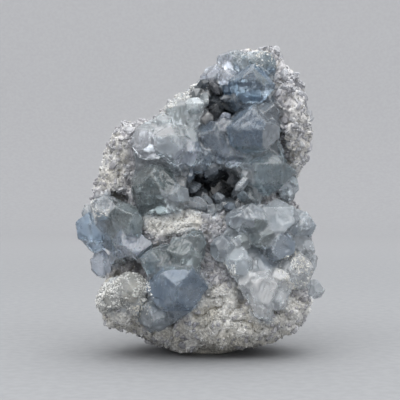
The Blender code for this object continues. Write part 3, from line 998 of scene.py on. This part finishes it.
@dataclass
class CrystalGroup:
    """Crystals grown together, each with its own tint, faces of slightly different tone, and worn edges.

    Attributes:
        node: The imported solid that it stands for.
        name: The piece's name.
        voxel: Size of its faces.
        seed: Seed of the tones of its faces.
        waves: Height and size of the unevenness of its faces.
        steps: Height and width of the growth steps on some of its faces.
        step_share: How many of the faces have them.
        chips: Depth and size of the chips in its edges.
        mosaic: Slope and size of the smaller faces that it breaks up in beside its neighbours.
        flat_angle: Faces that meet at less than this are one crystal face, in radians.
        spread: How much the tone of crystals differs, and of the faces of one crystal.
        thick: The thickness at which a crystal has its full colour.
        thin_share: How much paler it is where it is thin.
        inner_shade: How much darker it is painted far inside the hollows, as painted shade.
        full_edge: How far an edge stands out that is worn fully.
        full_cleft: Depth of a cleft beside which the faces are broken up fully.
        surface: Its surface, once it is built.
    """

    node: str
    name: str
    voxel: float = 0.30 * MM
    seed: int = 1
    waves: tuple = (0.07 * MM, 2.4 * MM)
    steps: tuple = (0.04 * MM, 1.1 * MM)
    step_share: float = 0.4
    chips: tuple = (0.35 * MM, 1.6 * MM)
    mosaic: tuple = ((0.30, 2.8 * MM), (0.35, 1.3 * MM))
    flat_angle: float = math.radians(4)
    spread: tuple = (0.10, 0.14)
    thick: float = 7.0 * MM
    thin_share: float = 0.65
    inner_shade: float = 0.8
    full_edge: float = 0.03 * MM
    full_cleft: float = 0.5 * MM
    surface: Surface = field(init=False, default=None)

    def crystal_faces(self) -> tuple[BVHTree, list[int], dict[int, tuple]]:
        """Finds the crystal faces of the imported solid, and which crystal each is on.

        Returns:
            A tree of the solid's triangles, the crystal face of each triangle, and for each crystal face its
            colour and, where it has growth steps, its direction.
        """
        bm = node_bmesh(self.node)
        bm.faces.ensure_lookup_table()
        bm.normal_update()
        face_of = self.joined(bm, lambda edge: edge.calc_face_angle(math.pi) < self.flat_angle)
        crystal_of = self.joined(bm, lambda edge: edge.calc_face_angle_signed(-1.0) > -self.flat_angle)
        areas, middles = {}, {}
        for face in bm.faces:
            key, area = face_of[face.index], face.calc_area()
            areas[key] = areas.get(key, 0.0) + area
            middles[key] = middles.get(key, Vector()) + face.calc_center_median() * area
        rng = random.Random(self.seed)
        crystal_tone = {key: rng.uniform(-1, 1) for key in sorted(set(crystal_of))}
        looks = {}
        for key in sorted(areas):
            middle = middles[key] / max(areas[key], 1e-12)
            tone = 1 + self.spread[0] * crystal_tone[crystal_of[key]] + self.spread[1] * rng.uniform(-1, 1)
            colour = [min(0.95, part * tone) for part in tint_at(middle)]
            looks[key] = (colour, bm.faces[key].normal.copy() if rng.random() < self.step_share else None)
        tree = BVHTree.FromBMesh(bm)
        bm.free()
        return tree, face_of, looks

    def body_depth(self, tree: BVHTree, surface: Surface, normals: np.ndarray) -> np.ndarray:
        """How thick the crystal is under each point, from 0 where it is thin to 1 where it is thick.

        Args:
            tree: The solid's triangles.
            surface: The piece's surface.
            normals: The direction that it faces at each point.

        Returns:
            One share a point.
        """
        depths = np.zeros(surface.count)
        for index, (place, normal) in enumerate(zip(surface.points, normals)):
            inwards = -Vector(normal)
            reach = tree.ray_cast(Vector(place) + inwards * 0.4 * MM, inwards)[3]
            depths[index] = min(1.0, (reach or 0.0) / self.thick)
        depths = surface.blurred(depths, 12)
        return depths ** 2 * (3 - 2 * depths)

    @staticmethod
    def joined(bm: bmesh.types.BMesh, same: object) -> list[int]:
        """Sorts the faces of a mesh into patches.

        Args:
            bm: The mesh.
            same: Says of an edge whether the faces on both sides are in one patch.

        Returns:
            For each face, the lowest index of the faces in its patch.
        """
        found = [-1] * len(bm.faces)
        for first in bm.faces:
            if found[first.index] >= 0:
                continue
            found[first.index] = first.index
            front = [first]
            while front:
                for edge in front.pop().edges:
                    if len(edge.link_faces) == 2 and same(edge):
                        for face in edge.link_faces:
                            if found[face.index] < 0:
                                found[face.index] = first.index
                                front.append(face)
        return found

    def height(self, point: Vector, way: Vector | None, edge: float, broken: float) -> float:
        """How far a crystal face stands out at a point, in metres.

        Args:
            point: The point.
            way: The face's direction where it has growth steps, else None.
            edge: How near an edge the point is, from 0 to 1.
            broken: How broken up the face is there, from 0 to 1.

        Returns:
            The height.
        """
        height = self.waves[0] * noise.noise(point / self.waves[1])
        if way is not None:
            across = way.cross(Vector((0.31, 0.2, 0.93))).dot(point) / self.steps[1]
            height += self.steps[0] * math.sin(6.28 * (across + 0.6 * noise.noise(point / (3 * MM))))
        chip = noise.noise(point / self.chips[1] + Vector((4, 4, 1)))
        height -= self.chips[0] * max(0.0, edge) * max(0.0, chip) * 1.6
        share = broken * min(1.0, max(0.0, 0.6 + 2.5 * noise.noise(point / (5 * MM))))
        return height + (share * facet_height(point, self.mosaic) if share > 0.02 else 0.0)

    def build(self, material: Material) -> Object:
        """Builds the piece.

        Args:
            material: Its finish.

        Returns:
            The object.
        """
        obj = remeshed(self.node, self.name, self.voxel)
        tree, face_of, looks = self.crystal_faces()
        surface = self.surface = Surface(obj.data)
        surface.points = surface.calmed(1)
        edge = np.clip(-surface.hollowness(3) / self.full_edge, -1, 1)
        low = surface.blurred(surface.hollowness(40), 6)
        broken = np.clip(low / self.full_cleft + 0.25, 0, 1)
        normals = surface.normals()
        pale = 1 - self.body_depth(tree, surface, normals)
        colours = np.zeros((surface.count, 3))
        heights = np.zeros(surface.count)
        for index, place in enumerate(surface.points):
            point, _, face, _ = tree.find_nearest(Vector(place))
            colours[index], way = looks[face_of[face]]
            surface.points[index] = point
            heights[index] = self.height(point, way, edge[index], broken[index])
        colours += (self.thin_share * pale)[:, None] * (np.array(Tint.PALE.value) - colours)
        # painted shade: the crystals' colour is darkened inside the hollows, behind their front
        inside = shares_in(HOLLOWS, surface.points)
        inside *= np.clip((surface.points[:, 1] - FRONT_OF_HOLLOWS) / (6 * MM), 0, 1)
        colours *= (1 - self.inner_shade * inside)[:, None]
        surface.points += normals * heights[:, None]
        within_box(surface)
        surface.write()
        surface.keep("tint", colours)
        surface.keep("edge", np.clip(surface.blurred(np.clip(edge, 0, 1), 1), 0, 1))
        surface.keep("cleft", np.clip(surface.blurred(np.clip(-edge, 0, 1), 3) * 1.6, 0, 1))
        obj.data.materials.append(material)
        finish_piece(obj, "crystal", self.node)
        return obj


class Shape(Enum):
    """The forms of a small crystal: sides, width and depth, height of its shoulders, and its ridge."""

    BLOCK = (6, 1.0, 0.85, 0.50, 0.50)
    STUB = (8, 1.0, 0.90, 0.42, 0.62)
    POINT = (6, 0.85, 0.80, 0.40, 0.10)
    BLADE = (4, 1.1, 0.45, 0.60, 0.50)


def small_crystal(shape: Shape) -> Object:
    """A small crystal of unit height whose root is below the origin.

    Args:
        shape: Its form.

    Returns:
        The object, which is a pattern for copies and isn't part of the model.
    """
    sides, width, depth, shoulder, ridge = shape.value
    bm = bmesh.new()
    for level, share in ((-0.35, 0.85), (shoulder, 1.0)):
        for side in range(sides):
            angle = math.tau * (side + 0.5) / sides
            bm.verts.new((math.cos(angle) * width / 2 * share, math.sin(angle) * depth / 2 * share, level))
    for way in (-1, 1):
        bm.verts.new((way * ridge * width / 2, 0.12 * way * depth, 0.88 + 0.07 * way))
        bm.verts.new((way * ridge * width / 3, -0.2 * way * depth, 0.80))
    bmesh.ops.convex_hull(bm, input=bm.verts)
    bmesh.ops.recalc_face_normals(bm, faces=bm.faces)
    mesh = mesh_from(bm, f"pattern_{shape.name.lower()}")
    return bpy.data.objects.new(mesh.name, mesh)


def chip_pattern() -> Object:
    """A chip of cleaved celestine, about 1 across.

    Returns:
        The object, which is a pattern for copies and isn't part of the model.
    """
    bm = bmesh.new()
    slant = Matrix(((1, 0.25, 0, 0), (0, 1, 0.15, 0), (0, 0, 0.8, 0), (0, 0, 0, 1)))
    bmesh.ops.create_cube(bm, size=0.9, matrix=slant)
    mesh = mesh_from(bm, "pattern_chip")
    return bpy.data.objects.new(mesh.name, mesh)


def scatter_tree() -> NodeTree:
    """Geometry nodes that strew copies of some patterns over a surface.

    Returns:
        The tree. Its inputs are the names below.
    """
    tree = bpy.data.node_groups.new("strewn_crystals", "GeometryNodeTree")
    kinds = {"Geometry": "Geometry", "Patterns": "Collection", "Mask": "String", "Seed": "Int",
             "Material": "Material"}
    names = ("Geometry", "Patterns", "Spacing", "Density", "Mask", "Small", "Large", "Length", "Tilt", "Seed",
             "Material")
    for name in names:
        kind = f"NodeSocket{kinds.get(name, 'Float')}"
        tree.interface.new_socket(name=name, in_out="INPUT", socket_type=kind)
    tree.interface.new_socket(name="Geometry", in_out="OUTPUT", socket_type="NodeSocketGeometry")
    wiring = Wiring(tree)
    given = wiring.put("NodeGroupInput").outputs
    mask = wiring.put("GeometryNodeInputNamedAttribute", {"Name": given["Mask"]}, data_type="FLOAT")
    sockets = {"Mesh": given["Geometry"], "Distance Min": given["Spacing"], "Density Max": given["Density"],
               "Density Factor": mask.outputs[0], "Seed": given["Seed"]}
    points = wiring.put("GeometryNodeDistributePointsOnFaces", sockets, distribute_method="POISSON").outputs

    def draw(low: object, high: object, extra: int, kind: str = "FLOAT") -> Socket:
        """A random value for each copy.

        Args:
            low: Its least.
            high: Its most.
            extra: What tells it from the tree's other draws.
            kind: FLOAT or FLOAT_VECTOR.

        Returns:
            The value.
        """
        first, result = (2, 1) if kind == "FLOAT" else (0, 0)
        ends = {first: low, first + 1: high, "Seed": wiring.math("ADD", given["Seed"], float(extra))}
        return wiring.put("FunctionNodeRandomValue", ends, data_type=kind).outputs[result]

    lean = draw((-1, -1, 0), (1, 1, 0), 1, "FLOAT_VECTOR")
    lean = wiring.vector("SCALE", {0: lean, "Scale": given["Tilt"]})
    spin = wiring.put("ShaderNodeCombineXYZ", {2: draw(0.0, math.tau, 2)}).outputs[0]
    turned = points["Rotation"]
    for turn in (lean, spin):
        sockets = {0: turned, 1: wiring.put("FunctionNodeEulerToRotation", {0: turn}).outputs[0]}
        turned = wiring.put("FunctionNodeRotateRotation", sockets, rotation_space="LOCAL").outputs[0]
    width = draw(given["Small"], given["Large"], 3)
    length = wiring.times(width, wiring.times(given["Length"], draw(0.7, 1.2, 4)))
    depth = wiring.times(width, draw(0.6, 1.0, 5))
    size = wiring.put("ShaderNodeCombineXYZ", {0: width, 1: depth, 2: length}).outputs[0]
    sockets = {0: given["Patterns"], "Separate Children": True, "Reset Children": True}
    patterns = wiring.put("GeometryNodeCollectionInfo", sockets).outputs[0]
    sockets = {"Points": points["Points"], "Instance": patterns, "Pick Instance": True, "Rotation": turned,
               "Scale": size}
    copies = wiring.put("GeometryNodeInstanceOnPoints", sockets).outputs[0]
    sockets = {"Geometry": copies, "Name": "tone", "Value": draw(0.0, 1.0, 6)}
    kind = {"data_type": "FLOAT", "domain": "INSTANCE"}
    toned = wiring.put("GeometryNodeStoreNamedAttribute", sockets, **kind).outputs[0]
    real = wiring.put("GeometryNodeRealizeInstances", {0: toned}).outputs[0]
    dressed = wiring.put("GeometryNodeSetMaterial", {"Geometry": real, "Material": given["Material"]})
    wiring.put("NodeGroupOutput", {0: dressed.outputs[0]})
    return tree


@dataclass(frozen=True)
class Strewn:
    """Small crystals or grains strewn over a surface.

    Attributes:
        name: The piece's name.
        slot: The record's material slot.
        spacing: Least distance between two.
        density: Most of them to a square metre.
        small: Least width.
        large: Most width.
        length: Length of one, as a share of its width.
        tilt: How far one leans, in radians.
        seed: Seed of its random draws.
    """

    name: str
    slot: str
    spacing: float
    density: float
    small: float
    large: float
    length: float
    tilt: float
    seed: int

    def build(self, ground: Surface, mask: np.ndarray, patterns: Collection,
              tree: NodeTree, material: Material) -> Object:
        """Builds the piece.

        Args:
            ground: The surface that they stand on.
            mask: How thickly they stand at each of its points, from 0 to 1.
            patterns: The forms that are copied.
            tree: The geometry nodes that strew them.
            material: Their finish.

        Returns:
            The object.
        """
        mesh = ground.mesh.copy()
        made = mesh.attributes.new("mask", "FLOAT", "POINT")
        made.data.foreach_set("value", mask.astype(np.float32))
        obj = object_of(mesh, self.name)
        modifier = obj.modifiers.new("strew", "NODES")
        modifier.node_group = tree
        values = {"Patterns": patterns, "Mask": "mask", "Material": material}
        for name in ("spacing", "density", "small", "large", "length", "tilt", "seed"):
            values[name.capitalize()] = getattr(self, name)
        for item in tree.interface.items_tree:
            if item.in_out == "INPUT" and item.name in values:
                modifier[item.identifier] = values[item.name]
        settled(obj)
        surface = Surface(obj.data)
        within_box(surface)
        surface.write()
        finish_piece(obj, self.slot)
        obj.data.shade_flat()
        return obj


@dataclass
class Studio:
    """A round pale dish for floor and background, soft lights, and the camera.

    Attributes:
        floor: Radius of the flat floor.
        bend: Radius of the curve from floor to wall.
        wall: Height of the wall's rim.
        lens: The camera's lens in millimetres, on a sensor 36 wide.
    """

    floor: float = 0.62
    bend: float = 0.30
    wall: float = 0.72
    lens: float = 100.0

    def dish(self, material: Material) -> None:
        """Builds the floor and the wall round it.

        Args:
            material: Their finish.
        """
        profile = [(0.0, 0.0), (self.floor, 0.0)]
        for step in range(1, 13):
            angle = math.pi / 2 * step / 12
            profile.append((self.floor + self.bend * math.sin(angle), self.bend * (1 - math.cos(angle))))
        profile.append((self.floor + self.bend, self.wall))
        bm = bmesh.new()
        rings, around = [], 96
        centre = bm.verts.new((0, 0, 0))
        for radius, height in profile[1:]:
            spots = [math.tau * step / around for step in range(around)]
            rings.append([bm.verts.new((radius * math.cos(a), radius * math.sin(a), height)) for a in spots])
        for step in range(around):
            after = (step + 1) % around
            bm.faces.new((centre, rings[0][step], rings[0][after]))
            for inner, outer in zip(rings, rings[1:]):
                bm.faces.new((inner[step], outer[step], outer[after], inner[after]))
        mesh = mesh_from(bm, "stage_dish")
        mesh.shade_smooth()
        mesh.materials.append(material)
        object_of(mesh, "stage_dish")

    @staticmethod
    def light(name: str, place: tuple, size: float, power: float, colour: tuple = (1, 1, 1)) -> None:
        """Adds a soft square light that points at the piece.

        Args:
            name: Its name.
            place: Where it is.
            size: Its side.
            power: Its power in watts.
            colour: Its colour.
        """
        lamp = bpy.data.lights.new(name, "AREA")
        lamp.size, lamp.energy, lamp.color = size, power, colour
        obj = bpy.data.objects.new(name, lamp)
        bpy.context.scene.collection.objects.link(obj)
        obj.location = place
        obj.rotation_euler = (Vector((0, 0, 0.045)) - Vector(place)).to_track_quat("-Z", "Y").to_euler()

    def build(self) -> None:
        """Builds the stage, the lights and the camera."""
        self.dish(StageFinish().build())
        self.light("key_light", (-0.35, -0.60, 0.80), 1.0, 8.0, (1.0, 0.99, 0.98))
        self.light("fill_light", (0.65, -0.55, 0.55), 0.8, 4.0, (0.98, 0.99, 1.0))
        self.light("bounce_light", (0.0, -0.75, 0.06), 0.6, 1.6)
        self.light("top_light", (0.10, 0.15, 1.0), 0.8, 4.0)
        world = bpy.data.worlds.new("studio_air")
        world.use_nodes = True
        air = {"Color": (0.96, 0.98, 1.0, 1.0), "Strength": 1.5}
        Wiring(world.node_tree).fill(world.node_tree.nodes["Background"], air)
        scene = bpy.context.scene
        scene.world = world
        scene.view_settings.view_transform = "Standard"
        lens = bpy.data.cameras.new("front_camera")
        lens.lens, lens.sensor_width = self.lens, 36.0
        lens.clip_start, lens.clip_end = 0.01, 10.0
        camera = bpy.data.objects.new("front_camera", lens)
        scene.collection.objects.link(camera)
        camera.location = EYE
        camera.rotation_euler = (AIM - EYE).to_track_quat("-Z", "Y").to_euler()
        scene.camera = camera


GROUPS = (
    (CrystalGroup("crystal_crust", "hollow_crystals", 0.37 * MM, seed=1), CrystalFinish("crystal_blue_grey")),
    (
        CrystalGroup("left_blue_crystals", "left_crystals", seed=2),
        CrystalFinish("crystal_blue", density=30.0),
    ),
    (
        CrystalGroup("lower_block_crystals", "lower_crystals", seed=3),
        CrystalFinish("crystal_lavender", clear=0.75, density=20.0),
    ),
    (
        CrystalGroup("front_right_crystals", "front_crystals", seed=4),
        CrystalFinish("crystal_pale", clear=0.68, density=8.0, veil=0.35),
    ),
    (
        CrystalGroup("left_foot_crystals", "foot_crystals", seed=5),
        CrystalFinish("crystal_milky", clear=0.6, density=8.0, veil=0.5),
    ),
)
SMALL_FINISH = CrystalFinish("crystal_small", clear=0.6, density=0.0, shade=(0.92, 0.92, 0.93), planes=0.08,
                             rough=(0.12, 0.35), glow=(0.5, 0.7 * MM), loose=0.5)
# The lining in the hollows: its clouds are darkened to about 0.7 as painted shade
LINING_FINISH = CrystalFinish("crystal_slate", clear=0.6, density=0.0, veil=0.1, shade=(0.7, 0.72, 0.75),
                              wear=0.1, grit=0.0)
FROST_FINISH = GrainFinish("frost_grains", dull=linear(190, 190, 188), bright=linear(226, 226, 223))


def crystal_tree() -> BVHTree:
    """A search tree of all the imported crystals.

    Returns:
        The tree.
    """
    points, faces = [], []
    for group, _ in GROUPS:
        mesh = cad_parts[group.node].data
        start = len(points)
        points.extend(vertex.co.copy() for vertex in mesh.vertices)
        faces.extend([start + i for i in polygon.vertices] for polygon in mesh.polygons)
    return BVHTree.FromPolygons(points, faces)


def pattern_collection(name: str, patterns: list[Object]) -> Collection:
    """Keeps patterns in a named collection outside the scene.

    Args:
        name: The collection's name.
        patterns: The patterns.

    Returns:
        The collection.
    """
    made = bpy.data.collections.new(name)
    for obj in patterns:
        made.objects.link(obj)
    return made


def strew_all(ground: Surface, groups: dict[str, NodeTree]) -> None:
    """Strews small crystals in the hollows and over the rock, and grains over rock and frosted crystals.

    Args:
        ground: The rock's surface.
        groups: The shared node groups by name.
    """
    tree = scatter_tree()
    forms = pattern_collection("small_crystal_forms", [small_crystal(shape) for shape in Shape])
    chips = pattern_collection("chip_forms", [chip_pattern()])
    crust = GROUPS[0][0].surface
    lined = shares_in(HOLLOWS, crust.points) * (crust.points[:, 1] > FRONT_OF_HOLLOWS)
    lining = Strewn("hollow_lining", "crystal", spacing=3.0 * MM, density=3e5, small=3.0 * MM, large=6.0 * MM,
                    length=0.8, tilt=0.5, seed=13)
    lining.build(crust, lined, forms, tree, LINING_FINISH.build(groups))
    above_foot = ground.points[:, 2] > TOP_OF_FOOT
    front = np.clip(ground.normals()[:, 1] * -1.5 + 0.6, 0, 1) * above_foot
    patchy = at_points(lambda point: noise.noise(point / PATCH), ground.points)
    bare = shares_in(BARE_ROCK, ground.points)
    open_air = np.clip(1 - pocket_shade_shares(ground.points) * 1.3, 0, 1)
    grown = front * (1 - bare) * open_air * np.clip(patchy * 2.5 + 1.3, 0.3, 1)
    small = SMALL_FINISH.build(groups)
    druse = Strewn("small_crystals", "crystal", spacing=2.1 * MM, density=2.6e5, small=2.0 * MM,
                   large=3.8 * MM, length=0.30, tilt=0.7, seed=11)
    druse.build(ground, grown, forms, tree, small)
    infill = Strewn("smallest_crystals", "crystal", spacing=0.85 * MM, density=1.3e6, small=0.8 * MM,
                    large=2.0 * MM, length=0.45, tilt=1.1, seed=12)
    infill.build(ground, grown, forms, tree, small)
    grain = GrainFinish("rock_grains").build(groups)
    front_grains = Strewn("front_grains", "rock", spacing=0.5 * MM, density=2.8e6, small=0.35 * MM,
                          large=0.8 * MM, length=0.8, tilt=1.2, seed=21)
    front_grains.build(ground, front * (0.1 + 0.9 * bare) * open_air, chips, tree, grain)
    frost = FROST_FINISH.build(groups)
    for group, _ in GROUPS:
        points = group.surface.points
        frosted = shares_in(FROSTED, points)
        if frosted.max() == 0:
            continue
        sandy = at_points(lambda point: noise.noise(point / FROST_PATCH), points)
        frosted = frosted * np.clip(sandy * 4 + 0.7, 0, 1) * (points[:, 1] < 0)
        coat = Strewn(f"{group.name}_coat", "rock", spacing=0.38 * MM, density=6e6, small=0.3 * MM,
                      large=0.7 * MM, length=0.7, tilt=1.2, seed=50 + group.seed)
        coat.build(group.surface, frosted, chips, tree, frost)
    back = np.clip(1 - front * 2, 0, 1) * above_foot * np.clip(patchy * 1.5 + 0.6, 0, 1)
    back_grains = Strewn("back_grains", "rock", spacing=0.6 * MM, density=2e6, small=0.5 * MM, large=1.2 * MM,
                         length=0.8, tilt=1.2, seed=31)
    back_grains.build(ground, back, chips, tree, grain)


def main() -> None:
    """Builds the rock, the crystals, the small crystals and grains, and the studio."""
    logging.basicConfig(level=logging.INFO, format="%(name)s: %(message)s")
    groups = {"sugar": sugar_group(), "veils": veil_group()}
    rock = RockBody()
    rock.build(RockFinish("rock_granular").build(groups), crystal_tree())
    for group, finish in GROUPS:
        group.build(finish.build(groups))
    strew_all(rock.surface, groups)
    Studio().build()


if __name__ == "__main__":
    main()
